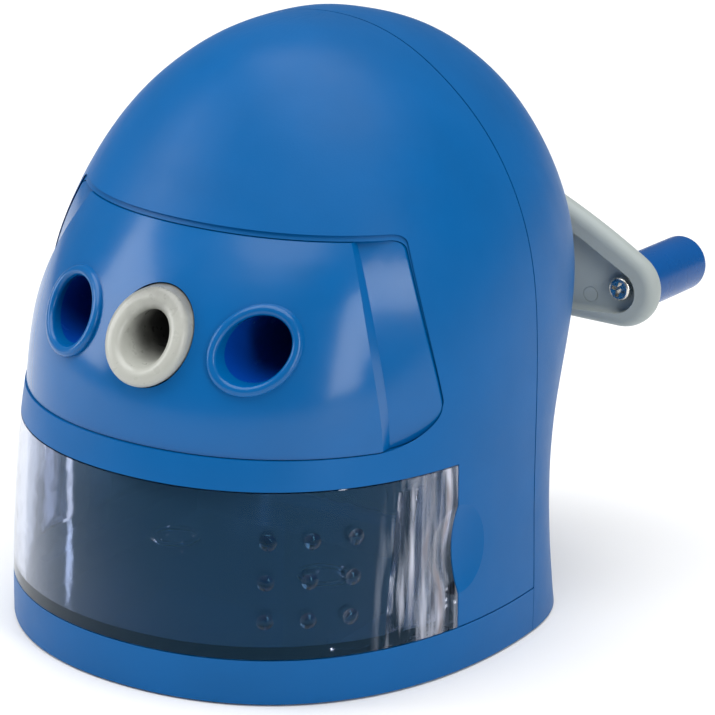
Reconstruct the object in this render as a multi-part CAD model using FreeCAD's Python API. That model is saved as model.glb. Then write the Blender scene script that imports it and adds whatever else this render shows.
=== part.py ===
import FreeCAD, Part
import math
import os
from FreeCAD import Vector

# Crank pencil sharpener, in millimetres. +Z is up, a pencil goes in along +Y, the crank is on the
# +Y side. The origin is on the underside, in the upright plane where the two housings meet.

FRONT = -1
REAR = 1

# ---- driving dimensions: the dome ----
HEIGHT = 120.0
WALL = 2.2
GROUND_GAP = 0.4            # the rubber pad lifts the mouldings off the table by this much
SEAM_WIDTH = 0.36
SEAM_DEPTH = 0.8
# Control rows of the dome, from the foot to the crown.
ROW_HEIGHTS = [0, 10, 26, 44, 62, 80, 97, 111, HEIGHT, HEIGHT]
HALF_WIDTHS = [53.0, 52.9, 51.5, 51.0, 50.3, 48.2, 40.7, 27.7, 11.9, 0]
FRONT_DEPTHS = [69.0, 69.8, 71.4, 69.6, 63.5, 53.2, 41.5, 32.4, 21.2, 0]
REAR_DEPTHS = [35.3, 29.3, 26.8, 30.4, 49.0, 48.7, 41.9, 34.5, 16.6, 0]
FULLNESS = {FRONT: 0.62, REAR: 0.70}     # 0.55 would be an ellipse in plan, 1 a rectangle

# ---- driving dimensions: base and drawer ----
RIM_TOP = 9.5               # top of the base rim, and the drawer's sill
BASE_GROOVE = 0.3           # height and depth of the line between the base rim and the case
BASE_FLOOR_TOP = 2.8
PAD_THICKNESS = 1.2
PAD_INSET = 14.0
DRAWER_TOP = 43.0           # upper edge of the drawer opening
DRAWER_SIDE_Y = -26.6       # the opening ends here on both sides
DRAWER_GAP = 0.25
DRAWER_WALL = 2.0
DRAWER_HALF_WIDTH = 43.5
DRAWER_BACK_Y = 8.0
RAIL_X = 34.0
SCOOP_DEPTH = 1.5
SCOOP_HALF_HEIGHT = 8.9
SCOOP_Z = 25.6
GRIP_COLUMNS = [27.4, 33.7, 39.1]        # across, evenly spaced along the curved front
GRIP_ROWS = [17.6, 25.5, 33.4]
GRIP_RADIUS = 1.6
GRIP_HEIGHT = 0.7
MARK_X = 17.6               # ring-shaped marks on the drawer's floor
MARK_Y = -24.0
MARK_RADIUS = 5.2
DRAWER_FLOOR = 2.2

# ---- driving dimensions: the panel and its three holes ----
PANEL_BOTTOM = 48.7
PANEL_TOP = 86.5
# The panel bulges more than the dome: its own depths replace the dome's, row by row.
PANEL_DEPTHS = [69.0, 69.8, 71.4, 66.8, 66.8, 54.5, 38.2, 32.4, 21.2, 0]
FLANGE_GAP = 0.4            # between the case wall and the panel's hidden flange behind it
FLANGE_THICKNESS = 1.55
FLANGE_OVERLAP = 1.6        # how far the flange reaches past the window
FLANGE_INSIDE = 2.5
PANEL_THICKNESS = 2.2
PANEL_FIT = 0.18
PANEL_EDGE = [(46.9, PANEL_BOTTOM), (43.0, 68.6), (36.3, PANEL_TOP)]     # x, z of its right edge
PANEL_STEP = [(40.8, PANEL_BOTTOM), (37.0, 69.0), (29.3, PANEL_TOP)]     # where the side strip starts
STRIP_DROP = [2.8, 2.9, 1.9]             # how far the strip lies behind the middle, at those points
STRIP_EDGE_DROP = 0.4                    # and behind the housing, at its outer edge
PANEL_TOP_CORNER = 3.0
PANEL_BOTTOM_CORNER = 6.0
REBATE_RISE = 1.1           # the window has a shallow rebate along its top edge
REBATE_DEPTH = 0.7
AXIS_Z = 68.3               # height of the pencil and crank axis
WELL_X = 20.3
WELL_RADIUS = 5.95
WELL_RIM_RADIUS = 7.95
WELL_RIM_PROUD = 1.3
WELL_RIM_ROUNDING = 0.9
WELL_WALL = 1.3
WELL_END_Y = -32.0
GUIDE_RIM_RADIUS = 8.7
GUIDE_PROUD = 2.7
GUIDE_ROUNDING = 1.7
GUIDE_GAP = 0.3
GUIDE_MOUTH_RADIUS = 5.0
GUIDE_MOUTH_DEPTH = 10.8
GUIDE_TUBE_RADIUS = 6.2
GUIDE_HEAD_BACK_Y = -48.0
GUIDE_END_Y = -31.4
PENCIL_BORE_RADIUS = 4.1    # standard 7 to 8 mm pencils

# ---- driving dimensions: the cutter head ----
RUNNING = 0.05              # radial clearance of every turning fit
CONE_HALF_ANGLE = 10.5      # half of the sharpened point's angle, and the slant of the cutter
POINT_Y = 4.0               # where the pencil's point ends
CUTTER_RADIUS = 6.5
CUTTER_FRONT_Y = -20.4
CUTTER_REAR_Y = 6.0
CUTTER_TEETH = 14
CUTTER_TWIST = 50.0         # degrees over its length
CUTTER_TOOTH = (            # radius and share of the pitch, for each corner of a tooth
    (CUTTER_RADIUS, 0.0),
    (CUTTER_RADIUS - 0.25, 0.3),
    (CUTTER_RADIUS - 1.3, 0.86),
)
AXLE_RADIUS = 1.5
MODULE = 0.8
PINION_TEETH = 12
RING_TEETH = 25
GEAR_Y = 11.6               # middle of the gear mesh
GEAR_WIDTH = 3.2
RING_WIDTH = 4.4
RING_OUTER_RADIUS = 12.5
TOOTH_REACH = 0.65          # addendum
TOOTH_ROOT_GAP = 0.45
TOOTH_BACKLASH = 0.46
JOURNAL_RADIUS = 9.0
CARRIER_RADIUS = 12.0
CARRIER_PLATE_RADIUS = 16.5
CARRIER_FRONT_Y = -24.0
HUB_RADIUS = 8.0
PIN_Y = 23.4
PIN_RADIUS = 1.0
HUB_END_Y = 26.0
FRAME_FRONT_Y = -30.0
FRAME_REAR_Y = 18.0
FRAME_WALL = 4.0
FRAME_INNER_RADIUS = 18.9
FRAME_OUTER_RADIUS = 21.4
FRAME_FOOT_TOP = 12.5
CLIP_Y = FRAME_REAR_Y + 1.2
SHAFT_RADIUS = 3.0
SHAFT_START_Y = 20.0

# ---- driving dimensions: the crank ----
CRANK_LENGTH = 45.5
CRANK_ANGLE = -12.3         # rest pose, degrees above +X
REAR_BOSS_Y = 48.4
ARM_FRONT_Y = 49.3
ARM_THICKNESS = 5.0
ARM_FRONT_ROUNDING = 2.4
ARM_BACK_ROUNDING = 2.2
ARM_HUB_RADIUS = 17.6
ARM_END_RADIUS = 8.4
ARM_BACK_CURVE = 170.0      # radius of the arm's long upper edge
ARM_RECESS = 2.6
RECESS_START = (31.5, 8.6)  # along the arm, and radius
RECESS_END = (44.6, 4.8)
RECESS_SIDE = -0.7          # the recess lies this far below the arm's centre line
ARM_BOSS_RADIUS = 9.5
ARM_BOSS_HEIGHT = 3.0
ARM_SCREW_RECESS_RADIUS = 5.2
ARM_MARK = (38.8, -4.4, 1.75)   # round ejector mark on the floor: along the arm, up, radius
KNOB_RADIUS = 6.0
KNOB_GAP = 0.8
KNOB_END_Y = 79.5
KNOB_SPLAY = 3.5            # the grip leans outwards from the crank axis by this many degrees
KNOB_SCREW_GAP = 0.35
KNOB_PIVOT_RADIUS = 2.0
KNOB_SCREW_RADIUS = 1.1
KNOB_SCREW_HEAD = 2.6       # head radius

# ---- driving dimensions: screws and bushes ----
SCREW_BOSS_X = 26.0
SCREW_BOSS_Z = 93.0
FRONT_BOSS_RADIUS = 3.6
REAR_BOSS_RADIUS = 4.4
CRANK_BOSS_RADIUS = 10.0
HOUSING_SCREW_RADIUS = 1.25
HOUSING_SCREW_HEAD_Y = 12.0
FRONT_POST_X = 46.7
FRONT_POST_Y = -12.0
FRONT_POST_RADIUS = 2.9
REAR_POST_X = 30.0
REAR_POST_Y = 20.6
REAR_POST_RADIUS = 3.4
BASE_SCREW_RADIUS = 1.2
BASE_SCREW_HEAD = 2.5       # head radius
FRAME_SCREW_X = 16.0
FRAME_SCREW_Y = 17.0
BUSH_RADIUS = 5.0
BUSH_FLANGE_RADIUS = 8.0

PI = math.pi


# ---- small shapes ----
def box(x0, x1, y0, y1, z0, z1):
    return Part.makeBox(x1 - x0, y1 - y0, z1 - z0, Vector(x0, y0, z0))


def rod(radius, y0, y1, x=0.0, z=AXIS_Z):
    """Cylinder along Y."""
    return Part.makeCylinder(radius, y1 - y0, Vector(x, y0, z), Vector(0, 1, 0))


def ring(outer, inner, y0, y1, x=0.0, z=AXIS_Z):
    return rod(outer, y0, y1, x, z).cut(rod(inner, y0 - 1, y1 + 1, x, z))


def post(radius, x, y, z0, z1):
    """Cylinder along Z."""
    return Part.makeCylinder(radius, z1 - z0, Vector(x, y, z0))


def joined(pieces):
    whole = pieces[0]
    for piece in pieces[1:]:
        whole = whole.fuse(piece)
    return whole.removeSplitter()


def both_sides(shape):
    """The shape and its mirror image across the middle plane."""
    return [shape, shape.mirror(Vector(0, 0, 0), Vector(1, 0, 0))]


def rounded(shape, radius, choose):
    """Rounds the edges that choose() picks."""
    edges = [edge for edge in shape.Edges if choose(edge)]
    return shape.makeFillet(radius, edges)


def pan_screw(head_radius, head_height, shank_radius, length):
    """Pan-head screw along +Y, with the underside of its head at the origin, and a cross recess."""
    dome = Part.makeCylinder(head_radius, head_height, Vector(0, -head_height, 0), Vector(0, 1, 0))
    dome = rounded(dome, head_height * 0.45, lambda edge: edge.BoundBox.YMax < -head_height + 0.01)
    slot = head_radius * 0.16
    arm = head_radius * 0.62
    depth = head_height * 0.6
    recess = box(-arm, arm, -head_height - 1, -head_height + depth, -slot, slot)
    recess = recess.fuse(box(-slot, slot, -head_height - 1, -head_height + depth, -arm, arm))
    shank = Part.makeCylinder(shank_radius, length, Vector(0, 0, 0), Vector(0, 1, 0))
    return dome.cut(recess).fuse(shank)


def moved(shape, x, y, z):
    copy = shape.copy()
    copy.translate(Vector(x, y, z))
    return copy


def turned(shape, centre, axis, degrees):
    copy = shape.copy()
    copy.rotate(centre, axis, degrees)
    return copy


# ---- the dome ----
def dome_surface(side, inset=0.0, depths=None):
    """Half of the dome's skin: rows of six poles from the foot to the crown."""
    if depths is None:
        depths = FRONT_DEPTHS if side == FRONT else REAR_DEPTHS
    full = FULLNESS[side]
    across = [1, 1, full, -full, -1, -1]
    outward = [0, full, 1, 1, full, 0]
    poles = []
    for a, o in zip(across, outward):
        column = []
        for z, half_width, depth in zip(ROW_HEIGHTS, HALF_WIDTHS, depths):
            x = max(half_width - inset, 0) * a
            y = side * max(depth - inset, 0) * o
            column.append(Vector(x, y, z - inset * (z / HEIGHT) ** 2))
        poles.append(column)
    spans = len(ROW_HEIGHTS) - 3
    row_knots = [i / spans for i in range(spans + 1)]
    row_mults = [4] + [1] * (spans - 1) + [4]
    surface = Part.BSplineSurface()
    surface.buildFromPolesMultsKnots(poles, [4, 2, 4], row_mults, [0, 0.5, 1], row_knots, False, False, 3, 3)
    return surface


def dome_half(side, inset=0.0, depths=None):
    """Solid half of the dome, flat at the seam and underneath."""
    surface = dome_surface(side, inset, depths)
    foot = Part.makeLine(surface.value(0, 0), surface.value(1, 0))
    underside = Part.Face(Part.Wire([surface.vIso(0).toShape(), foot]))
    arch = Part.__sortEdges__([surface.uIso(0).toShape(), surface.uIso(1).toShape(), foot])
    shell = Part.Shell([surface.toShape(), underside, Part.Face(Part.Wire(arch))])
    shell.sewShape()
    solid = Part.Solid(shell)
    if solid.Volume < 0:
        solid.reverse()
    return solid


FRONT_SKIN = dome_surface(FRONT)
FRONT_SOLID = dome_half(FRONT)
REAR_SOLID = dome_half(REAR)
PANEL_SKIN = dome_surface(FRONT, 0.0, PANEL_DEPTHS)
PANEL_SOLID = dome_half(FRONT, 0.0, PANEL_DEPTHS)


def halved(low, high, too_low, steps=40):
    """Root of a rising function by halving the interval."""
    for _ in range(steps):
        middle = (low + high) / 2
        if too_low(middle):
            low = middle
        else:
            high = middle
    return low


def skin_point(x, z, skin=FRONT_SKIN):
    """Point of a front skin at this x and z, with its outward normal."""
    v = halved(0, 1, lambda t: skin.value(0.5, t).z < z)
    u = halved(0, 1, lambda t: skin.value(t, v).x > x)
    normal = skin.normal(u, v)
    if normal.y > 0:
        normal = normal * -1
    return skin.value(u, v), normal


def lies_on(edge, skin, back=0.0):
    """Whether an edge runs along a skin that is moved back by this much."""
    for share in (0.2, 0.5, 0.8):
        point = edge.valueAt(edge.FirstParameter + (edge.LastParameter - edge.FirstParameter) * share)
        point.y -= back
        if (skin.value(*skin.parameter(point)) - point).Length > 0.02:
            return False
    return True


def seam_groove(side):
    """Ring cut into the edge of a housing, so the seam shows as a fine dark line."""
    y0, y1 = sorted((0, side * SEAM_WIDTH / 2))
    slab = box(-60, 60, y0, y1, -1, HEIGHT + 1)
    outer = FRONT_SOLID if side == FRONT else REAR_SOLID
    return outer.common(slab).cut(dome_half(side, SEAM_DEPTH))


def base_groove(side):
    """Fine shadow line where a housing half stands on the base."""
    band = box(-60, 60, -80, 80, RIM_TOP - 0.01, RIM_TOP + BASE_GROOVE)
    return band.cut(dome_half(side, BASE_GROOVE))


# ---- the panel's outline, seen from the front ----
def mirrored_outline(points, grow):
    """Wire through three points of the right side and their mirror images, arcs at the sides."""
    low, middle, high = [Vector(x + grow, -100, z) for x, z in points]
    low.z -= grow
    high.z += grow
    left = [Vector(-p.x, p.y, p.z) for p in (high, middle, low)]
    edges = [
        Part.Arc(low, middle, high).toShape(),
        Part.makeLine(high, left[0]),
        Part.Arc(*left).toShape(),
        Part.makeLine(left[2], low),
    ]
    return Part.Wire(edges)


def outline_prism(points, grow, top_corner, bottom_corner):
    prism = Part.Face(mirrored_outline(points, grow)).extrude(Vector(0, 90, 0))
    middle_z = (PANEL_BOTTOM + PANEL_TOP) / 2

    def is_corner(edge, above):
        bounds = edge.BoundBox
        return bounds.YLength > 80 and (bounds.ZMin > middle_z) == above

    prism = rounded(prism, top_corner + grow, lambda edge: is_corner(edge, True))
    return rounded(prism, bottom_corner + grow, lambda edge: is_corner(edge, False))


def panel_prism(grow):
    return outline_prism(PANEL_EDGE, grow, PANEL_TOP_CORNER, PANEL_BOTTOM_CORNER)


def middle_prism(grow):
    return Part.Face(mirrored_outline(PANEL_STEP, grow)).extrude(Vector(0, 90, 0))


def panel_slab(near, far):
    """The panel's skin moved back by near, as a slab that is far - near thick along Y."""
    return moved(PANEL_SOLID, 0, near, 0).cut(moved(PANEL_SOLID, 0, far, 0))


def through_three(points, z):
    """x (or any value) at height z on the parabola through three points (value, z)."""
    total = 0.0
    for i, (value, zi) in enumerate(points):
        weight = 1.0
        for j, (_, zj) in enumerate(points):
            if j != i:
                weight *= (z - zj) / (zi - zj)
        total += value * weight
    return total


def strip_slab():
    """Right side strip: a straight-ruled sheet, set back at the step and almost flush outside."""
    drops = [(drop, z) for drop, (_, z) in zip(STRIP_DROP, PANEL_STEP)]
    inner, outer = [], []
    for z in (PANEL_BOTTOM - 4, 60, 70, 80, PANEL_TOP + 4):
        step_x = through_three(PANEL_STEP, z)
        edge_x = through_three(PANEL_EDGE, z)
        start = skin_point(step_x, z, PANEL_SKIN)[0] + Vector(0, through_three(drops, z), 0)
        end = skin_point(edge_x, z)[0] + Vector(0, STRIP_EDGE_DROP, 0)
        run = end - start
        inner.append(start - run * 0.3)
        outer.append(end + run * 0.3)
    curves = []
    for points in (inner, outer):
        curve = Part.BSplineCurve()
        curve.interpolate(points)
        curves.append(curve.toShape())
    return Part.makeRuledSurface(*curves).extrude(Vector(0, PANEL_THICKNESS, 0))


# ---- mouldings of the case ----
def scoops():
    """Balls that hollow out a finger grip across each side edge of the drawer."""
    radius = (SCOOP_HALF_HEIGHT ** 2 + SCOOP_DEPTH ** 2) / (2 * SCOOP_DEPTH)
    x = halved(40, 53, lambda t: skin_point(t, SCOOP_Z)[0].y < DRAWER_SIDE_Y)
    point, normal = skin_point(x, SCOOP_Z)
    ball = Part.makeSphere(radius, point + normal * (radius - SCOOP_DEPTH))
    return both_sides(ball)


def front_housing():
    shell = FRONT_SOLID.cut(dome_half(FRONT, WALL))
    shell = shell.cut(box(-60, 60, -80, 1, -1, RIM_TOP))
    shell = shell.cut(box(-60, 60, -80, DRAWER_SIDE_Y, RIM_TOP - 1, DRAWER_TOP))
    shell = shell.cut(panel_prism(0))
    rebate = moved(panel_prism(0), 0, 0, REBATE_RISE)
    shell = shell.cut(rebate.cut(moved(FRONT_SOLID, 0, REBATE_DEPTH, 0)))
    shell = shell.cut(seam_groove(FRONT)).cut(base_groove(FRONT))
    bosses = []
    for x in (-SCREW_BOSS_X, SCREW_BOSS_X):
        bosses.append(rod(FRONT_BOSS_RADIUS, -60, 0, x, SCREW_BOSS_Z))
    for x in (-FRONT_POST_X, FRONT_POST_X):
        bosses.append(post(FRONT_POST_RADIUS, x, FRONT_POST_Y, RIM_TOP, RIM_TOP + 16))
    inside = FRONT_SOLID.common(box(-60, 60, -80, -0.01, 0, HEIGHT))
    shell = joined([shell] + [boss.common(inside) for boss in bosses])
    for ball in scoops():
        shell = shell.cut(ball)
    for x in (-SCREW_BOSS_X, SCREW_BOSS_X):
        shell = shell.cut(rod(HOUSING_SCREW_RADIUS, -14, 1, x, SCREW_BOSS_Z))
    for x in (-FRONT_POST_X, FRONT_POST_X):
        shell = shell.cut(post(BASE_SCREW_RADIUS, x, FRONT_POST_Y, RIM_TOP - 1, RIM_TOP + 11))
    return shell


def rear_housing():
    shell = REAR_SOLID.cut(dome_half(REAR, WALL))
    shell = shell.cut(box(-60, 60, -1, 80, -1, GROUND_GAP))
    shell = shell.cut(seam_groove(REAR))
    inside = REAR_SOLID.common(box(-60, 60, 0.01, 80, BASE_FLOOR_TOP + 0.1, HEIGHT))
    pieces = [shell]
    for x in (-SCREW_BOSS_X, SCREW_BOSS_X):
        pieces.append(rod(REAR_BOSS_RADIUS, 0, 60, x, SCREW_BOSS_Z).common(inside))
    for x in (-REAR_POST_X, REAR_POST_X):
        pieces.append(post(REAR_POST_RADIUS, x, REAR_POST_Y, BASE_FLOOR_TOP + 0.1, 18).common(inside))
    pieces.append(rod(CRANK_BOSS_RADIUS, 40.5, REAR_BOSS_Y))
    shell = joined(pieces)
    for x in (-SCREW_BOSS_X, SCREW_BOSS_X):
        shell = shell.cut(rod(3.0, HOUSING_SCREW_HEAD_Y, 70, x, SCREW_BOSS_Z))
        shell = shell.cut(rod(1.6, -1, 20, x, SCREW_BOSS_Z))
    for x in (-REAR_POST_X, REAR_POST_X):
        shell = shell.cut(post(BASE_SCREW_RADIUS, x, REAR_POST_Y, 0, 14))
    return shell.cut(rod(BUSH_RADIUS, 38, 60))


def base_tray():
    rim = FRONT_SOLID.cut(dome_half(FRONT, WALL)).common(box(-60, 60, -80, 0, GROUND_GAP, RIM_TOP))
    slab = box(-60, 60, -80, 80, GROUND_GAP, BASE_FLOOR_TOP)
    pieces = [rim, FRONT_SOLID.common(slab), dome_half(REAR, WALL + 0.3).common(slab)]
    for x in (-RAIL_X, RAIL_X):
        pieces.append(box(x - 1.2, x + 1.2, -48, DRAWER_BACK_Y, BASE_FLOOR_TOP, RIM_TOP - 0.05))
    pieces.append(box(-40, 40, DRAWER_BACK_Y + 0.4, DRAWER_BACK_Y + 1.8, BASE_FLOOR_TOP, 14))
    for x in (-FRAME_SCREW_X, FRAME_SCREW_X):
        pieces.append(post(4.6, x, FRAME_SCREW_Y, BASE_FLOOR_TOP, RIM_TOP))
    for x in (-FRONT_POST_X, FRONT_POST_X):
        pieces.append(post(FRONT_POST_RADIUS, x, FRONT_POST_Y, BASE_FLOOR_TOP, RIM_TOP).common(FRONT_SOLID))
    tray = joined(pieces)
    tray = tray.cut(pad_outline(0.15).common(box(-60, 60, -80, 80, -1, PAD_THICKNESS)))
    for x, y in base_screw_places():
        tray = tray.cut(post(BASE_SCREW_HEAD + 0.2, x, y, 0, 2.0))
        tray = tray.cut(post(1.4, x, y, 0, RIM_TOP + 1))
    for x in (-FRAME_SCREW_X, FRAME_SCREW_X):
        tray = tray.cut(post(1.2, x, FRAME_SCREW_Y, RIM_TOP - 6, RIM_TOP + 1))
    return tray.removeSplitter()


def base_screw_places():
    places = []
    for sign in (-1, 1):
        places.append((sign * FRONT_POST_X, FRONT_POST_Y))
        places.append((sign * REAR_POST_X, REAR_POST_Y))
    return places


def pad_outline(grow):
    """The dome's plan, well inside its edge."""
    halves = [dome_half(side, PAD_INSET - grow) for side in (FRONT, REAR)]
    return joined([half.common(box(-60, 60, -80, 80, 0, 10)) for half in halves])


def foot_pad():
    return pad_outline(0).common(box(-60, 60, -80, 80, 0, PAD_THICKNESS))


def rim_edge(edge):
    return edge.Length > 20 and lies_on(edge, PANEL_SKIN, -WELL_RIM_PROUD)


def well_rim(x):
    """Disc with a rounded edge that becomes the bead round a side hole."""
    rim = rod(WELL_RIM_RADIUS, -90, -20, x).common(panel_slab(-WELL_RIM_PROUD, 1.0))
    return rounded(rim, WELL_RIM_ROUNDING, rim_edge)


def front_panel():
    fit = -PANEL_FIT
    middle = middle_prism(0).common(panel_prism(fit))
    panel = panel_slab(0, PANEL_THICKNESS).common(middle)
    walls = panel_slab(PANEL_THICKNESS - 0.5, max(STRIP_DROP) + 1.6)
    walls = walls.common(middle.cut(middle_prism(-1.6)))
    sides = panel_prism(fit).cut(middle_prism(-0.4))
    strip = strip_slab().common(sides)
    behind = moved(FRONT_SOLID, 0, STRIP_EDGE_DROP, 0)
    strips = [piece.common(behind) for piece in both_sides(strip)]
    flange = dome_half(FRONT, WALL + FLANGE_GAP).cut(dome_half(FRONT, WALL + FLANGE_GAP + FLANGE_THICKNESS))
    flange = flange.common(panel_prism(FLANGE_OVERLAP)).cut(panel_prism(-FLANGE_INSIDE))
    panel = joined([panel, walls] + strips + [flange, well_rim(-WELL_X), well_rim(WELL_X)])
    for x in (-WELL_X, WELL_X):
        panel = panel.cut(rod(WELL_RADIUS, -90, -20, x))
    panel = panel.cut(rod(GUIDE_RIM_RADIUS + GUIDE_GAP, -90, -20))
    return rounded(panel, WELL_RIM_ROUNDING, rim_edge)


def pencil_well(x):
    """Blind tube behind a side hole, closed at its far end."""
    outer = WELL_RADIUS + WELL_WALL
    tube = rod(outer, -80, WELL_END_Y, x).common(moved(PANEL_SOLID, 0, PANEL_THICKNESS, 0))
    return tube.cut(rod(WELL_RADIUS, -80, WELL_END_Y - 1.5, x))


def pencil_guide():
    """Nozzle: a full bead that follows the slope of the panel, and a tapered mouth."""
    head = rod(GUIDE_RIM_RADIUS, -90, GUIDE_HEAD_BACK_Y).common(moved(PANEL_SOLID, 0, -GUIDE_PROUD, 0))
    mouth_y = skin_point(0, AXIS_Z, PANEL_SKIN)[0].y - GUIDE_PROUD
    taper = (GUIDE_MOUTH_RADIUS - PENCIL_BORE_RADIUS) / GUIDE_MOUTH_DEPTH
    cone_lead = 8.0
    cone = Part.makeCone(
        GUIDE_MOUTH_RADIUS + taper * cone_lead, PENCIL_BORE_RADIUS, GUIDE_MOUTH_DEPTH + cone_lead,
        Vector(0, mouth_y - cone_lead, AXIS_Z), Vector(0, 1, 0),
    )
    head = head.cut(cone)
    head = rounded(head, GUIDE_ROUNDING, lambda edge: lies_on(edge, PANEL_SKIN, -GUIDE_PROUD))
    tube = rod(GUIDE_TUBE_RADIUS, GUIDE_HEAD_BACK_Y - 1, GUIDE_END_Y)
    guide = joined([head, tube])
    return guide.cut(rod(PENCIL_BORE_RADIUS, -60, 0))


def drawer():
    lower = RIM_TOP + DRAWER_GAP
    upper = DRAWER_TOP - DRAWER_GAP
    side_y = DRAWER_SIDE_Y - DRAWER_GAP
    front = FRONT_SOLID.cut(dome_half(FRONT, DRAWER_WALL))
    front = front.common(box(-60, 60, -80, side_y, lower, upper))
    inside = FRONT_SOLID.common(box(-60, 60, -80, side_y, lower, upper))
    floor = inside.common(box(-60, 60, -80, side_y, lower, lower + DRAWER_FLOOR))
    half = DRAWER_HALF_WIDTH
    back = DRAWER_BACK_Y
    floor_back = box(-half, half, side_y - 1, back, lower, lower + DRAWER_FLOOR)
    walls = []
    for sign in (-1, 1):
        x0, x1 = sorted((sign * (half - 1.8), sign * half))
        allowed = joined([inside, box(-60, 60, side_y - 1, back, 0, 60)])
        walls.append(box(x0, x1, -46, back, lower, 40).common(allowed))
        x0, x1 = sorted((sign * (half - 1.8), sign * 52))
        walls.append(box(x0, x1, side_y - 2.0, side_y, lower, upper).common(inside))
    walls.append(box(-half, half, back - 1.8, back, lower, 38))
    tray = joined([front, floor, floor_back] + walls)
    for ball in scoops():
        tray = tray.cut(ball)
    for x in GRIP_COLUMNS:
        for z in GRIP_ROWS:
            tray = tray.fuse(grip_bump(*skin_point(x, z)))
    for x in (-MARK_X, MARK_X):
        tray = tray.fuse(floor_mark(x))
    return tray


def grip_bump(point, normal):
    """Low dome on the drawer's front."""
    radius = (GRIP_RADIUS ** 2 + GRIP_HEIGHT ** 2) / (2 * GRIP_HEIGHT)
    ball = Part.makeSphere(radius, point - normal * (radius - GRIP_HEIGHT))
    base = Part.makeCylinder(radius, 2.0, point - normal * 0.5, normal)
    return ball.common(base)


def floor_mark(x):
    """Thin raised ring on the drawer's floor."""
    floor_top = RIM_TOP + DRAWER_GAP + DRAWER_FLOOR
    outer = post(MARK_RADIUS, x, MARK_Y, floor_top - 0.2, floor_top + 0.6)
    return outer.cut(post(MARK_RADIUS - 0.9, x, MARK_Y, floor_top - 1, floor_top + 1))


# ---- the cutter head ----
SLANT = math.radians(CONE_HALF_ANGLE)
CUTTER_DIRECTION = Vector(0, math.cos(SLANT), -math.sin(SLANT))


def cutter_axis_point(y):
    """Point of the slanted cutter axis at this y: a cutter radius above the pencil's cone."""
    offset = CUTTER_RADIUS / math.cos(SLANT) + (POINT_Y - y) * math.tan(SLANT)
    return Vector(0, y, AXIS_Z + offset)


def on_cutter_axis(radius, y0, y1):
    start = cutter_axis_point(y0)
    length = (y1 - y0) / math.cos(SLANT)
    return Part.makeCylinder(radius, length, start, CUTTER_DIRECTION)


def pencil_cone():
    length = PENCIL_BORE_RADIUS / math.tan(SLANT)
    start = Vector(0, POINT_Y - length, AXIS_Z)
    cone = Part.makeCone(PENCIL_BORE_RADIUS, 0.3, length, start, Vector(0, 1, 0))
    return cone.fuse(rod(PENCIL_BORE_RADIUS, -60, POINT_Y - length + 0.01))


def gear_outline(teeth, pitch_radius, tip_radius, root_radius, tooth_width, tooth_at):
    """Closed polygon of trapezoid teeth about the origin, in X and Z; a tooth points at tooth_at."""
    slope = math.tan(math.radians(20))
    points = []
    for i in range(teeth):
        centre = tooth_at + 2 * PI * i / teeth
        for radius, side in ((root_radius, -1), (tip_radius, -1), (tip_radius, 1), (root_radius, 1)):
            half = tooth_width / 2 + (pitch_radius - radius) * slope
            if tip_radius < root_radius:
                half = tooth_width / 2 + (radius - pitch_radius) * slope
            angle = centre + side * half / radius
            points.append(Vector(radius * math.cos(angle), 0, radius * math.sin(angle)))
    return Part.makePolygon(points + points[:1])


def cutter_pinion():
    pitch = MODULE * PINION_TEETH / 2
    width = PI * MODULE / 2 - TOOTH_BACKLASH
    outline = gear_outline(
        PINION_TEETH, pitch, pitch + TOOTH_REACH, pitch - TOOTH_REACH - TOOTH_ROOT_GAP, width, PI / 2)
    gear = Part.Face(outline).extrude(Vector(0, GEAR_WIDTH, 0))
    gear.translate(Vector(0, -GEAR_WIDTH / 2, 0))
    gear.rotate(Vector(0, 0, 0), Vector(1, 0, 0), -CONE_HALF_ANGLE)
    gear.translate(cutter_axis_point(GEAR_Y))
    return gear.cut(on_cutter_axis(AXLE_RADIUS + RUNNING, GEAR_Y - 8, GEAR_Y + 8))


def ring_gear():
    pitch = MODULE * RING_TEETH / 2
    width = PI * MODULE / 2 - 0.1
    half_tooth = PI / RING_TEETH
    outline = gear_outline(
        RING_TEETH, pitch, pitch - TOOTH_REACH, pitch + TOOTH_REACH + TOOTH_ROOT_GAP, width,
        PI / 2 + half_tooth)
    gap = Part.Face(outline).extrude(Vector(0, RING_WIDTH + 2, 0))
    gap.translate(Vector(0, GEAR_Y - RING_WIDTH / 2 - 1, AXIS_Z))
    return rod(RING_OUTER_RADIUS, GEAR_Y - RING_WIDTH / 2, GEAR_Y + RING_WIDTH / 2).cut(gap)


def helical_cutter():
    """Saw-tooth section swept along the slanted axis with a twist."""
    steps = 6
    length = (CUTTER_REAR_Y - CUTTER_FRONT_Y) / math.cos(SLANT)
    wires = []
    for k in range(steps + 1):
        twist = math.radians(CUTTER_TWIST) * k / steps
        points = []
        for i in range(CUTTER_TEETH):
            start = twist + 2 * PI * i / CUTTER_TEETH
            for radius, part in CUTTER_TOOTH:
                angle = start + part * 2 * PI / CUTTER_TEETH
                points.append(Vector(radius * math.cos(angle), length * k / steps, radius * math.sin(angle)))
        wires.append(Part.makePolygon(points + points[:1]))
    body = Part.makeLoft(wires, True, True)
    body.rotate(Vector(0, 0, 0), Vector(1, 0, 0), -CONE_HALF_ANGLE)
    body.translate(cutter_axis_point(CUTTER_FRONT_Y))
    neck = on_cutter_axis(3.2, CUTTER_REAR_Y - 0.5, GEAR_Y - GEAR_WIDTH / 2 - 0.05)
    body = body.fuse(neck)
    return body.cut(on_cutter_axis(AXLE_RADIUS + RUNNING, CUTTER_FRONT_Y - 5, GEAR_Y + 5))


def cutter_axle():
    return on_cutter_axis(AXLE_RADIUS, CARRIER_FRONT_Y - 1.3, 17.4)


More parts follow.
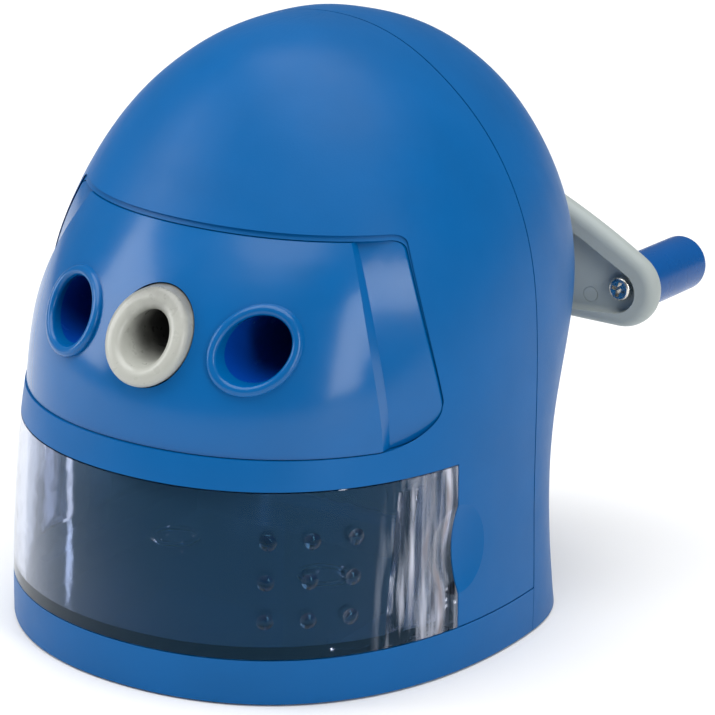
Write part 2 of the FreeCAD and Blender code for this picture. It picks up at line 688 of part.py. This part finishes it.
def axle_clip():
    clip = on_cutter_axis(AXLE_RADIUS + 1.3, CARRIER_FRONT_Y - 1.15, CARRIER_FRONT_Y - 0.65)
    return clip.cut(on_cutter_axis(AXLE_RADIUS, CARRIER_FRONT_Y - 3, CARRIER_FRONT_Y + 3))


def cutter_carrier():
    plate_back = CARRIER_FRONT_Y + 3.2
    pieces = [
        rod(JOURNAL_RADIUS, FRAME_FRONT_Y - 0.6, plate_back),
        rod(CARRIER_PLATE_RADIUS, CARRIER_FRONT_Y, plate_back),
        rod(CARRIER_RADIUS, plate_back - 0.5, GEAR_Y - RING_WIDTH / 2 - 0.5),
        rod(JOURNAL_RADIUS - 0.1, 8, GEAR_Y + RING_WIDTH / 2 + 0.3),
        rod(HUB_RADIUS, GEAR_Y, HUB_END_Y),
    ]
    carrier = joined(pieces)
    carrier = carrier.cut(pencil_cone())
    carrier = carrier.cut(on_cutter_axis(CUTTER_RADIUS + 0.4, CUTTER_FRONT_Y - 0.35, CUTTER_REAR_Y + 0.6))
    carrier = carrier.cut(on_cutter_axis(3.7, CUTTER_REAR_Y, GEAR_Y))
    pinion_tip = MODULE * PINION_TEETH / 2 + TOOTH_REACH
    room = GEAR_WIDTH / 2 + 0.6
    carrier = carrier.cut(on_cutter_axis(pinion_tip + 0.5, GEAR_Y - room, GEAR_Y + room))
    carrier = carrier.cut(rod(SHAFT_RADIUS, SHAFT_START_Y, HUB_END_Y + 1))
    carrier = carrier.cut(shaft_pin_rod())
    carrier = carrier.cut(ring(HUB_RADIUS + 1, HUB_RADIUS - 0.6, CLIP_Y, CLIP_Y + 1.0))
    return carrier.cut(cutter_axle())


def thrust_washer():
    return ring(HUB_RADIUS + 2.6, HUB_RADIUS, FRAME_REAR_Y + 0.3, FRAME_REAR_Y + 1.1)


def hub_clip():
    return ring(HUB_RADIUS + 2.0, HUB_RADIUS - 0.6, CLIP_Y, CLIP_Y + 1.0)


def shaft_pin_rod():
    start = Vector(-HUB_RADIUS + 0.5, PIN_Y, AXIS_Z)
    return Part.makeCylinder(PIN_RADIUS, 2 * HUB_RADIUS - 1, start, Vector(1, 0, 0))


def front_bush():
    sleeve = rod(JOURNAL_RADIUS + 1.5, FRAME_FRONT_Y, FRAME_FRONT_Y + FRAME_WALL)
    flange = rod(JOURNAL_RADIUS + 3, FRAME_FRONT_Y - 1.0, FRAME_FRONT_Y)
    return joined([sleeve, flange]).cut(rod(JOURNAL_RADIUS + RUNNING, -40, 0))


def mechanism_frame():
    """Shroud with a front wall, a rear wall and a foot behind the drawer; open below for the chips."""
    ring_front = GEAR_Y - RING_WIDTH / 2
    ring_back = GEAR_Y + RING_WIDTH / 2
    shroud = ring(FRAME_OUTER_RADIUS, FRAME_INNER_RADIUS, FRAME_FRONT_Y + 1, ring_front)
    shroud = shroud.cut(box(-30, 30, FRAME_FRONT_Y + FRAME_WALL, ring_front - 2.5, 0, AXIS_Z - 9))
    pieces = [
        shroud,
        rod(FRAME_OUTER_RADIUS, FRAME_FRONT_Y, FRAME_FRONT_Y + FRAME_WALL),
        rod(FRAME_OUTER_RADIUS, ring_front - 1.5, FRAME_REAR_Y),
        box(-12, 12, DRAWER_BACK_Y + 3, FRAME_REAR_Y, RIM_TOP, AXIS_Z),
        box(-22, 22, DRAWER_BACK_Y + 3, DRAWER_BACK_Y + 14, RIM_TOP, FRAME_FOOT_TOP),
    ]
    frame = joined(pieces)
    frame = frame.cut(rod(JOURNAL_RADIUS + 1.5, -40, -20))
    frame = frame.cut(rod(CARRIER_RADIUS + 1.0, 0, ring_front + 0.01))
    frame = frame.cut(rod(RING_OUTER_RADIUS, ring_front - 0.5, ring_back))
    frame = frame.cut(rod(RING_OUTER_RADIUS - 1.0, ring_back - 0.1, ring_back + 1.1))
    frame = frame.cut(rod(HUB_RADIUS + RUNNING, ring_back, FRAME_REAR_Y + 1))
    for x in (-FRAME_SCREW_X, FRAME_SCREW_X):
        frame = frame.cut(post(1.4, x, FRAME_SCREW_Y, 0, 20))
    return frame


# ---- the crank ----
ARM_BACK_Y = ARM_FRONT_Y + ARM_THICKNESS
ARM_FLOOR_Y = ARM_FRONT_Y + ARM_RECESS
ARM_BOSS_Y = ARM_BACK_Y + ARM_BOSS_HEIGHT
SHAFT_END_Y = ARM_BOSS_Y - 2.3
PIVOT = Vector(0, 0, AXIS_Z)
ARM_TURN = (PIVOT, Vector(0, 1, 0), -CRANK_ANGLE)


def teardrop(start, end, side, y0, y1, upper_radius=None):
    """Two circles, (distance along the arm, radius) each, with tangents between them.

    The arm lies along +X from the crank's axis. An upper radius bulges the upper tangent outwards.
    """
    (start_x, start_radius), (end_x, end_radius) = start, end
    span = end_x - start_x
    lean = math.asin((start_radius - end_radius) / span)
    first = Vector(start_x, y0, AXIS_Z + side)
    last = Vector(end_x, y0, AXIS_Z + side)
    down = Vector(math.sin(lean), 0, -math.cos(lean))
    first_down, last_down = first + down * start_radius, last + down * end_radius
    if upper_radius:
        to_first, to_last = upper_radius - start_radius, upper_radius - end_radius
        along = (to_first ** 2 - to_last ** 2 + span ** 2) / (2 * span)
        centre = first + Vector(along, 0, -math.sqrt(to_first ** 2 - along ** 2))
        first_up, last_up = [centre + (p - centre).normalize() * upper_radius for p in (first, last)]
        crest = centre + ((first_up + last_up) * 0.5 - centre).normalize() * upper_radius
        top = Part.Arc(first_up, crest, last_up).toShape()
    else:
        up = Vector(math.sin(lean), 0, math.cos(lean))
        first_up, last_up = first + up * start_radius, last + up * end_radius
        top = Part.makeLine(first_up, last_up)
    edges = [
        Part.Arc(first_down, first - Vector(start_radius, 0, 0), first_up).toShape(),
        top,
        Part.Arc(last_up, last + Vector(end_radius, 0, 0), last_down).toShape(),
        Part.makeLine(last_down, first_down),
    ]
    return Part.Face(Part.Wire(edges)).extrude(Vector(0, y1 - y0, 0))


def crank_arm():
    """Arm with a broad rounded rim round a sunk floor, on the side that faces the body."""
    hub = (0, ARM_HUB_RADIUS)
    end = (CRANK_LENGTH, ARM_END_RADIUS)
    arm = teardrop(hub, end, 0, ARM_FRONT_Y, ARM_BACK_Y, ARM_BACK_CURVE)
    arm = rounded(arm, ARM_FRONT_ROUNDING, lambda edge: edge.BoundBox.YMax < ARM_FRONT_Y + 0.01)
    arm = rounded(arm, ARM_BACK_ROUNDING, lambda edge: edge.BoundBox.YMin > ARM_BACK_Y - 0.01)
    recess = teardrop(RECESS_START, RECESS_END, RECESS_SIDE, ARM_FRONT_Y - 1, ARM_FLOOR_Y)
    recess = rounded(recess, 0.8, lambda edge: edge.BoundBox.YMin > ARM_FLOOR_Y - 0.01)
    arm = arm.cut(recess)
    boss = rod(ARM_BOSS_RADIUS, ARM_BACK_Y - 1, ARM_BOSS_Y)
    boss = rounded(boss, 1.0, lambda edge: edge.BoundBox.YMin > ARM_BOSS_Y - 0.01)
    arm = joined([arm, boss])
    arm = arm.cut(rod(ARM_SCREW_RECESS_RADIUS, SHAFT_END_Y - 0.1, ARM_BOSS_Y + 1))
    arm = arm.cut(splayed(rod(KNOB_PIVOT_RADIUS + RUNNING, ARM_FRONT_Y, ARM_BACK_Y + 1, CRANK_LENGTH)))
    mark_x, mark_z, mark_radius = ARM_MARK
    mark = ring(mark_radius, mark_radius - 0.2, ARM_FLOOR_Y, ARM_FLOOR_Y + 0.12, mark_x, AXIS_Z + mark_z)
    arm = arm.cut(mark)
    return turned(arm, *ARM_TURN).cut(shaft_blank())


def shaft_blank():
    """Shaft with a flat that keys the arm, before its holes are drilled."""
    flat = box(-5, 5, ARM_FRONT_Y - 0.5, SHAFT_END_Y + 1, AXIS_Z + 2.3, AXIS_Z + 5)
    return turned(rod(SHAFT_RADIUS, SHAFT_START_Y, SHAFT_END_Y).cut(flat), *ARM_TURN)


def crank_shaft():
    shaft = shaft_blank().cut(rod(1.25, SHAFT_END_Y - 10, SHAFT_END_Y + 1))
    return shaft.cut(shaft_pin_rod())


def rear_bush():
    sleeve = rod(BUSH_RADIUS, 40.5, REAR_BOSS_Y)
    flange = rod(BUSH_FLANGE_RADIUS, REAR_BOSS_Y, REAR_BOSS_Y + 0.6)
    return joined([sleeve, flange]).cut(rod(SHAFT_RADIUS + RUNNING, 30, 60))


def crank_washer():
    return ring(5.0, 1.6, SHAFT_END_Y, SHAFT_END_Y + 0.6)


def facing_back(screw):
    """Turns a screw round, so that its shank points along -Y."""
    return turned(screw, Vector(0, 0, 0), Vector(0, 0, 1), 180)


def crank_screw():
    screw = facing_back(pan_screw(2.9, 1.9, 1.25, 9))
    return moved(screw, 0, SHAFT_END_Y + 0.6, AXIS_Z)


def splayed(shape):
    """Leans a piece of the grip outwards, about the middle of the arm's floor."""
    return turned(shape, Vector(CRANK_LENGTH, ARM_FLOOR_Y, AXIS_Z), Vector(0, 0, 1), -KNOB_SPLAY)


def knob():
    """Grip with a pivot that passes through the arm."""
    start = ARM_BACK_Y + KNOB_GAP
    grip = rod(KNOB_RADIUS, start, KNOB_END_Y, CRANK_LENGTH)
    grip = rounded(grip, 1.7, lambda edge: edge.BoundBox.YMin > KNOB_END_Y - 0.01)
    grip = rounded(grip, 0.5, lambda edge: edge.BoundBox.YMax < start + 0.01)
    pivot_y = ARM_FLOOR_Y - KNOB_SCREW_GAP
    pivot = rod(KNOB_PIVOT_RADIUS, pivot_y, start + 1, CRANK_LENGTH)
    grip = joined([grip, pivot])
    grip = grip.cut(rod(KNOB_SCREW_RADIUS, pivot_y - 1, pivot_y + 14, CRANK_LENGTH))
    return turned(splayed(grip), *ARM_TURN)


def knob_screw():
    screw = pan_screw(KNOB_SCREW_HEAD, 1.9, KNOB_SCREW_RADIUS, 13)
    screw = moved(screw, CRANK_LENGTH, ARM_FLOOR_Y - KNOB_SCREW_GAP, AXIS_Z)
    return turned(splayed(screw), *ARM_TURN)


# ---- fasteners, each kind one group of separate solids ----
def housing_screws():
    screw = facing_back(pan_screw(2.8, 2.0, HOUSING_SCREW_RADIUS, 24))
    places = (-SCREW_BOSS_X, SCREW_BOSS_X)
    return Part.Compound([moved(screw, x, HOUSING_SCREW_HEAD_Y, SCREW_BOSS_Z) for x in places])


def upright(screw):
    """Turns a screw so that its shank points up."""
    return turned(screw, Vector(0, 0, 0), Vector(1, 0, 0), 90)


def base_screws():
    screw = upright(pan_screw(BASE_SCREW_HEAD, 1.3, BASE_SCREW_RADIUS, 11))
    return Part.Compound([moved(screw, x, y, 2.0) for x, y in base_screw_places()])


def frame_screws():
    screw = turned(upright(pan_screw(2.6, 1.8, BASE_SCREW_RADIUS, 8)), Vector(0, 0, 0), Vector(1, 0, 0), 180)
    places = (-FRAME_SCREW_X, FRAME_SCREW_X)
    return Part.Compound([moved(screw, x, FRAME_SCREW_Y, FRAME_FOOT_TOP) for x in places])


NODES = {
    "front_housing": front_housing,
    "rear_housing": rear_housing,
    "base_tray": base_tray,
    "foot_pad": foot_pad,
    "front_panel": front_panel,
    "pencil_well_left": lambda: pencil_well(-WELL_X),
    "pencil_well_right": lambda: pencil_well(WELL_X),
    "pencil_guide": pencil_guide,
    "drawer": drawer,
    "mechanism_frame": mechanism_frame,
    "front_bush": front_bush,
    "ring_gear": ring_gear,
    "cutter_carrier": cutter_carrier,
    "helical_cutter": helical_cutter,
    "cutter_pinion": cutter_pinion,
    "cutter_axle": cutter_axle,
    "axle_clip": axle_clip,
    "thrust_washer": thrust_washer,
    "hub_clip": hub_clip,
    "shaft_pin": shaft_pin_rod,
    "crank_shaft": crank_shaft,
    "rear_bush": rear_bush,
    "crank_arm": crank_arm,
    "crank_washer": crank_washer,
    "crank_screw": crank_screw,
    "knob": knob,
    "knob_screw": knob_screw,
    "housing_screws": housing_screws,
    "base_screws": base_screws,
    "frame_screws": frame_screws,
}


def main():
    os.makedirs("parts", exist_ok=True)
    for name, make in NODES.items():
        shape = make()
        solids = len(shape.Solids)
        print(name, "solids", solids, "valid", shape.isValid(), "volume", round(shape.Volume, 1))
        shape.exportStep(os.path.join("parts", name + ".step"))


main()
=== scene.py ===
import math

import bpy
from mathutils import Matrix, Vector


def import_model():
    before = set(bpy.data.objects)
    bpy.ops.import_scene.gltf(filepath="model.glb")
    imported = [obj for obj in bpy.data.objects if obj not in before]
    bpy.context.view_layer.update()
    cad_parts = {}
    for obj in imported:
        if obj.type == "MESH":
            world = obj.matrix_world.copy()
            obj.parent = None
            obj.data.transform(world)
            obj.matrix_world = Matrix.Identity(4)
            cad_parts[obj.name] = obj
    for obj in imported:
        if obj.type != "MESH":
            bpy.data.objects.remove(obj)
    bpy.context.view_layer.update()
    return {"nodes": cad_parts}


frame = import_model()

# A crank pencil sharpener on a pale studio floor. Everything is in metres, in the CAD's frame.

MM = 0.001
NODES = frame["nodes"]


# ---- node helpers ----
class Shader:
    """A material's node tree, with one Principled shader on its output."""

    def __init__(self, name):
        self.material = bpy.data.materials.new(name)
        self.material.use_nodes = True
        self.tree = self.material.node_tree
        self.tree.nodes.clear()
        self.shader = self.add("ShaderNodeBsdfPrincipled")
        output = self.add("ShaderNodeOutputMaterial")
        self.link(self.shader.outputs["BSDF"], output.inputs["Surface"])
        self.place = self.add("ShaderNodeTexCoord").outputs["Object"]

    def add(self, kind, **settings):
        node = self.tree.nodes.new(kind)
        for key, value in settings.items():
            setattr(node, key, value)
        return node

    def link(self, source, target):
        self.tree.links.new(source, target)

    def set(self, **values):
        """Sets sockets of the shader; an underscore in the name stands for a space."""
        for key, value in values.items():
            self.shader.inputs[key.replace("_", " ")].default_value = value

    def noise(self, size, detail=2.0, roughness=0.5, stretch=None):
        """Noise whose features are about this large, in metres."""
        node = self.add("ShaderNodeTexNoise")
        node.inputs["Scale"].default_value = 1.0 / size
        node.inputs["Detail"].default_value = detail
        node.inputs["Roughness"].default_value = roughness
        source = self.place
        if stretch:
            mapping = self.add("ShaderNodeMapping")
            mapping.inputs["Scale"].default_value = stretch
            self.link(self.place, mapping.inputs["Vector"])
            source = mapping.outputs["Vector"]
        self.link(source, node.inputs["Vector"])
        return node.outputs["Fac"]

    def range(self, source, low, high, from_low=0.3, from_high=0.7):
        node = self.add("ShaderNodeMapRange")
        node.inputs["From Min"].default_value = from_low
        node.inputs["From Max"].default_value = from_high
        node.inputs["To Min"].default_value = low
        node.inputs["To Max"].default_value = high
        self.link(source, node.inputs["Value"])
        return node.outputs["Result"]

    def blend(self, fraction, first, second):
        """Mixes two colours, each given as four numbers or as an output of another node."""
        node = self.add("ShaderNodeMix", data_type="RGBA")
        for key, colour in (("A", first), ("B", second)):
            if isinstance(colour, tuple):
                node.inputs[key].default_value = colour
            else:
                self.link(colour, node.inputs[key])
        self.link(fraction, node.inputs["Factor"])
        return node.outputs["Result"]

    def maths(self, operation, *sources):
        node = self.add("ShaderNodeMath", operation=operation)
        for i, source in enumerate(sources):
            self.link(source, node.inputs[i])
        return node.outputs["Value"]

    def coordinates(self):
        """Outputs X, Y and Z of the place on the object, in metres."""
        node = self.add("ShaderNodeSeparateXYZ")
        self.link(self.place, node.inputs["Vector"])
        return node.outputs

    def paint(self, colour=None, roughness=None, normal=None, transmission=None):
        """Links what is given to the shader's sockets."""
        wanted = {
            "Base Color": colour,
            "Roughness": roughness,
            "Normal": normal,
            "Transmission Weight": transmission,
        }
        for key, source in wanted.items():
            if source is not None:
                self.link(source, self.shader.inputs[key])

    def bump(self, height, depth, strength=1.0, below=None):
        node = self.add("ShaderNodeBump")
        node.inputs["Strength"].default_value = strength
        node.inputs["Distance"].default_value = depth
        self.link(height, node.inputs["Height"])
        if below is not None:
            self.link(below, node.inputs["Normal"])
        return node.outputs["Normal"]


def shade(colour, factor):
    return (colour[0] * factor, colour[1] * factor, colour[2] * factor, 1.0)


# ---- materials ----
DRAWER_END_X = 41.5 * MM       # the drawer's thick ends lie beyond this, left and right
DRAWER_END_Y = -25 * MM        # and in front of this
GRAPHITE_START_Y = -62.5 * MM  # the guide's bore is clean in front of this
GRAPHITE_FULL_Y = -54 * MM     # and fully smeared behind this

BLUE = (0.0, 0.100, 0.315)
SMOKE = (0.62, 0.67, 0.80, 1)
GRAPHITE = (0.07, 0.07, 0.07, 1)
# colours of the painted reflection streaks on the drawer's thick ends
PAINTED_REFLECTION_BROWN = (0.30, 0.25, 0.25, 1)
PAINTED_REFLECTION_LAVENDER = (0.78, 0.79, 0.90, 1)
NAVY_TINT = (0.14, 0.40, 0.72, 1)


def moulded_plastic(name, colour, gloss, grain, grain_depth, coat=0.0):
    """Injection-moulded plastic: faint cloudiness of colour, a spark-eroded grain, uneven gloss."""
    m = Shader(name)
    cloud = m.range(m.noise(18 * MM, detail=3), 0.0, 1.0)
    waves = m.bump(m.noise(9 * MM), 0.02 * MM, strength=0.35)
    fine = m.noise(grain, detail=3, roughness=0.6)
    m.paint(
        colour=m.blend(cloud, shade(colour, 0.95), shade(colour, 1.05)),
        roughness=m.range(m.noise(6 * MM, detail=4), gloss - 0.03, gloss + 0.03),
        normal=m.bump(fine, grain_depth, below=waves),
    )
    m.set(IOR=1.45, Specular_IOR_Level=0.20, Coat_Weight=coat, Coat_Roughness=0.14)
    return m.material


def clear_plastic(name):
    """Smoky clear polystyrene; on its thick ends, upright streaks of painted reflection, lavender
    and brown, are put into the colour.
    """
    m = Shader(name)
    place = m.coordinates()
    outward = m.maths("ABSOLUTE", place["X"])
    outer = m.range(outward, 0.0, 1.0, DRAWER_END_X, DRAWER_END_X + 2.5 * MM)
    front = m.range(place["Y"], 1.0, 0.0, DRAWER_END_Y - 2 * MM, DRAWER_END_Y)
    streak_noise = m.noise(2.6 * MM, detail=2, stretch=(1, 1, 0.10))
    streaks = m.range(streak_noise, 0.0, 1.0, 0.44, 0.66)
    # painted reflection: upright lavender and brown streaks on the drawer's thick ends, where the
    # plastic also lets less light through
    painted_reflection_mask = m.maths("MULTIPLY", m.maths("MULTIPLY", outer, front), streaks)
    patch_noise = m.noise(5 * MM, detail=2, stretch=(1, 1, 0.3))
    patches = m.range(patch_noise, 0.0, 1.0, 0.40, 0.55)
    m.paint(
        colour=m.blend(painted_reflection_mask, SMOKE, m.blend(patches, PAINTED_REFLECTION_BROWN, PAINTED_REFLECTION_LAVENDER)),
        transmission=m.range(painted_reflection_mask, 1.0, 0.35, 0.0, 1.0),
        roughness=m.range(m.noise(4 * MM, detail=4), 0.02, 0.06),
        normal=m.bump(m.noise(12 * MM), 0.05 * MM, strength=0.3),
    )
    m.set(IOR=1.55, Specular_Tint=NAVY_TINT)
    return m.material


def used_guide(name, colour):
    """Grey plastic, smeared with graphite further down the bore."""
    m = Shader(name)
    unevenness = m.range(m.noise(3 * MM, detail=4), -1.2 * MM, 1.2 * MM)
    smear = m.maths("ADD", m.coordinates()["Y"], unevenness)
    dirt = m.range(smear, 0.0, 1.0, GRAPHITE_START_Y, GRAPHITE_FULL_Y)
    m.paint(
        colour=m.blend(dirt, shade(colour, 1.0), GRAPHITE),
        roughness=m.range(m.noise(2 * MM, detail=3), 0.26, 0.34),
        normal=m.bump(m.noise(0.5 * MM, detail=3), 0.008 * MM),
    )
    m.set(IOR=1.5)
    return m.material


def metal(name, colour, roughness, stretch=None):
    """Turned or plated metal with fine tool marks."""
    m = Shader(name)
    marks = m.noise(0.4 * MM, detail=4, roughness=0.7, stretch=stretch)
    patches = m.range(m.noise(3 * MM, detail=3), 0.0, 1.0)
    m.paint(
        colour=m.blend(patches, shade(colour, 0.86), shade(colour, 1.04)),
        roughness=m.range(marks, roughness - 0.07, roughness + 0.09),
        normal=m.bump(marks, 0.012 * MM, strength=0.5),
    )
    m.set(Metallic=1.0)
    return m.material


def rubber(name):
    """Matt black rubber with a little dust."""
    m = Shader(name)
    dust = m.range(m.noise(5 * MM, detail=5), 0.0, 1.0)
    m.paint(
        colour=m.blend(dust, (0.020, 0.020, 0.022, 1), (0.045, 0.045, 0.048, 1)),
        roughness=m.range(m.noise(2 * MM), 0.78, 0.92),
        normal=m.bump(m.noise(0.5 * MM, detail=4), 0.05 * MM),
    )
    return m.material


# Plastics: colour, roughness, size of the grain, depth of the grain. Metals: colour, roughness.
MATERIALS = {
    "case": moulded_plastic("case blue", BLUE, 0.40, 0.35 * MM, 0.018 * MM),
    "panel": moulded_plastic("panel blue", BLUE, 0.24, 1.2 * MM, 0.006 * MM, coat=0.3),
    "well": moulded_plastic("well blue", (0.001, 0.045, 0.30), 0.25, 1.0 * MM, 0.006 * MM),
    "knob": moulded_plastic("knob blue", (0.0, 0.075, 0.28), 0.28, 0.8 * MM, 0.008 * MM),
    "grey": moulded_plastic("light grey", (0.37, 0.41, 0.40), 0.38, 0.3 * MM, 0.012 * MM),
    "guide": used_guide("guide grey", (0.40, 0.41, 0.375)),
    "clear": clear_plastic("clear drawer"),
    "nickel": metal("nickel plate", (0.70, 0.68, 0.63), 0.24),
    "steel": metal("turned steel", (0.55, 0.56, 0.58), 0.30, stretch=(1, 0.1, 1)),
    "zinc": metal("zinc casting", (0.45, 0.46, 0.48), 0.48),
    "bronze": metal("sintered bronze", (0.48, 0.30, 0.13), 0.45),
    "nylon": moulded_plastic("natural nylon", (0.66, 0.64, 0.57), 0.42, 0.4 * MM, 0.010 * MM),
    "frame": moulded_plastic("dark frame", (0.010, 0.014, 0.030), 0.45, 0.4 * MM, 0.020 * MM),
    "rubber": rubber("foot rubber"),
}

FINISH = {
    "case": ["front_housing", "rear_housing", "base_tray"],
    "panel": ["front_panel"],
    "well": ["pencil_well_left", "pencil_well_right"],
    "knob": ["knob"],
    "grey": ["crank_arm"],
    "guide": ["pencil_guide"],
    "clear": ["drawer"],
    "nickel": ["knob_screw", "crank_screw", "crank_washer", "housing_screws", "base_screws",
               "frame_screws", "axle_clip", "hub_clip"],
    "steel": ["crank_shaft", "shaft_pin", "cutter_axle", "helical_cutter", "cutter_pinion"],
    "zinc": ["cutter_carrier"],
    "bronze": ["front_bush"],
    "nylon": ["ring_gear", "thrust_washer", "rear_bush"],
    "frame": ["mechanism_frame"],
    "rubber": ["foot_pad"],
}


def finish_nodes():
    for material, names in FINISH.items():
        for name in names:
            mesh = NODES[name].data
            mesh.materials.clear()
            mesh.materials.append(MATERIALS[material])


# ---- studio ----
FLOOR_SIZE = 6.0
WORLD_STRENGTH = 0.22


def floor():
    bpy.ops.mesh.primitive_plane_add(size=FLOOR_SIZE, location=(0, 0, 0))
    plane = bpy.context.object
    plane.name = "floor"
    m = Shader("pale floor")
    patch = m.range(m.noise(0.4, detail=2), 0.0, 1.0)
    m.paint(
        colour=m.blend(patch, (0.90, 0.90, 0.90, 1), (0.92, 0.92, 0.92, 1)),
        roughness=m.range(m.noise(0.1), 0.75, 0.85),
    )
    plane.data.materials.append(m.material)


def world():
    """Dim white surround; the plain view transform keeps the blue saturated on a white floor."""
    w = bpy.data.worlds.new("studio")
    w.use_nodes = True
    background = w.node_tree.nodes["Background"]
    background.inputs["Color"].default_value = (1.0, 1.0, 1.0, 1)
    background.inputs["Strength"].default_value = WORLD_STRENGTH
    bpy.context.scene.world = w
    bpy.context.scene.view_settings.view_transform = "Standard"


def direction(azimuth, elevation):
    """Unit vector from the object towards a place; azimuth 0 is in front, 90 on the +X side."""
    a, e = math.radians(azimuth), math.radians(elevation)
    return Vector((math.sin(a) * math.cos(e), -math.cos(a) * math.cos(e), math.sin(e)))


LIGHT_AIM = Vector((0, 0, 0.06))
LIGHT_DISTANCE = 0.9


def softbox(name, azimuth, elevation, width, height, power):
    """Rectangular light at a set distance, aimed at the middle of the object."""
    data = bpy.data.lights.new(name, "AREA")
    data.shape = "RECTANGLE"
    data.size, data.size_y = width, height
    data.energy = power
    lamp = bpy.data.objects.new(name, data)
    bpy.context.scene.collection.objects.link(lamp)
    back = direction(azimuth, elevation)
    lamp.location = LIGHT_AIM + back * LIGHT_DISTANCE
    lamp.rotation_mode = "QUATERNION"
    lamp.rotation_quaternion = back.to_track_quat("Z", "Y")


def overhead(strength, spread):
    """Wide light from straight above, even over the whole floor."""
    data = bpy.data.lights.new("overhead", "SUN")
    data.energy = strength
    data.angle = math.radians(spread)
    lamp = bpy.data.objects.new("overhead", data)
    bpy.context.scene.collection.objects.link(lamp)
    lamp.location = (0, 0, 1)


def lights():
    softbox("key", azimuth=-58, elevation=24, width=0.35, height=0.6, power=3.6)
    softbox("right", azimuth=66, elevation=20, width=0.22, height=0.6, power=2.6)
    overhead(strength=3.0, spread=65)


CAMERA_AZIMUTH = 29.37      # degrees from straight in front towards +X
CAMERA_ELEVATION = 18.16
CAMERA_ROLL = 2.41
CAMERA_DISTANCE = 0.6073
CAMERA_LENS = 149.5         # mm
AIM_HEIGHT = 0.055
AIM_RIGHT = 0.00859         # the aim is this far off the middle line, in the camera's frame
AIM_UP = -0.00645


def camera():
    """Camera at the photograph's viewing angle."""
    data = bpy.data.cameras.new("camera")
    data.lens = CAMERA_LENS
    cam = bpy.data.objects.new("camera", data)
    bpy.context.scene.collection.objects.link(cam)
    bpy.context.scene.camera = cam
    back = direction(CAMERA_AZIMUTH, CAMERA_ELEVATION)
    right = Vector((0, 0, 1)).cross(back).normalized()
    up = back.cross(right)
    roll = math.radians(CAMERA_ROLL)
    side = right * math.cos(roll) + up * math.sin(roll)
    top = up * math.cos(roll) - right * math.sin(roll)
    target = Vector((0, 0, AIM_HEIGHT)) + right * AIM_RIGHT + up * AIM_UP
    matrix = cam.matrix_world.copy()
    for i, axis in enumerate((side, top, back)):
        for k in range(3):
            matrix[k][i] = axis[k]
    matrix.translation = target + back * CAMERA_DISTANCE
    cam.matrix_world = matrix
    data.clip_start, data.clip_end = 0.01, 20


finish_nodes()
floor()
world()
lights()
camera()
